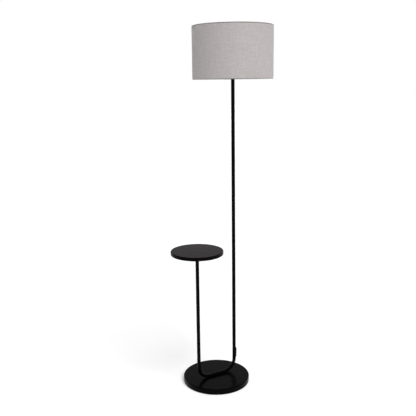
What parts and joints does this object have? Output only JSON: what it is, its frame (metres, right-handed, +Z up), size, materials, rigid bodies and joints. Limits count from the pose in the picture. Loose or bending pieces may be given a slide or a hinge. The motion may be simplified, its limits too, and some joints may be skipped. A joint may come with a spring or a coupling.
{
  "type": "floor lamp with table",
  "caption": "Floor lamp on a round weighted base: a bent tube carries a small round side table on one leg and a drum shade on the other.",
  "frame": {"origin": "centre of the round base, on the floor", "axes": "+Z up; +X from the table leg towards the post that carries the shade; the bent tube stands in a plane along X"},
  "size_m": [0.482, 0.35, 1.6055],
  "materials": {
    "black_paint": "satin black powder coat",
    "black_lacquer": "matte black lacquer on board",
    "cast_weight": "rough cast",
    "foam_pad": "matte closed-cell foam",
    "zinc_steel": "bright zinc plate",
    "black_rubber": "matte moulded rubber",
    "black_sheath": "matte",
    "core_insulation": "matte",
    "black_moulding": "satin moulded",
    "brass": "bright",
    "white_wire": "satin white",
    "white_liner": "matte film",
    "grey_linen": "plain weave linen",
    "nickel_cap": "bright nickel",
    "bulb_plastic": "satin white",
    "bulb_board": "white-faced board",
    "opal_globe": "opal"
  },
  "bodies": {
    "stand": {"base_cover": "black_paint", "base_weight": "cast_weight", "base_pad": "foam_pad", "foot_bolts": "zinc_steel", "foot_washers": "zinc_steel", "foot_bushes": "zinc_steel", "u_tube": "black_paint", "table_plug": "zinc_steel", "table_flange": "black_paint", "table_bolt": "zinc_steel", "table_screws": "zinc_steel", "table_top": "black_lacquer", "tube_plugs": "zinc_steel", "post_nipple": "zinc_steel", "post_upper": "black_paint", "cord_gland": "black_rubber", "supply_lead": "black_sheath", "top_washer": "black_paint", "holder_nipple": "zinc_steel", "nipple_nut": "zinc_steel", "holder_cap": "black_moulding", "holder_body": "black_moulding", "holder_shell": "brass", "contact_block": "black_moulding", "centre_contact": "brass", "terminal_screws": "brass", "wire_cores": "core_insulation", "shade_ring": "black_moulding", "bulb_cap": "nickel_cap", "bulb_contact": "brass", "bulb_body": "bulb_plastic", "bulb_board": "bulb_board", "bulb_globe": "opal_globe"},
    "shade": {"shade_spider": "white_wire", "shade_top_ring": "white_wire", "shade_liner": "white_liner", "shade_fabric": "grey_linen"},
    "switch": {"switch_bar": "black_moulding"}
  },
  "joints": [
    {"name": "shade_turn", "type": "hinge", "parent": "stand", "child": "shade", "pos_m": [0.095, -0.006, 1.425], "axis": [0, 0, 1], "continuous": true},
    {"name": "switch_push", "type": "slide", "parent": "stand", "child": "switch", "axis": [0, 1, 0], "range_m": [0, 0.006]}
  ]
}
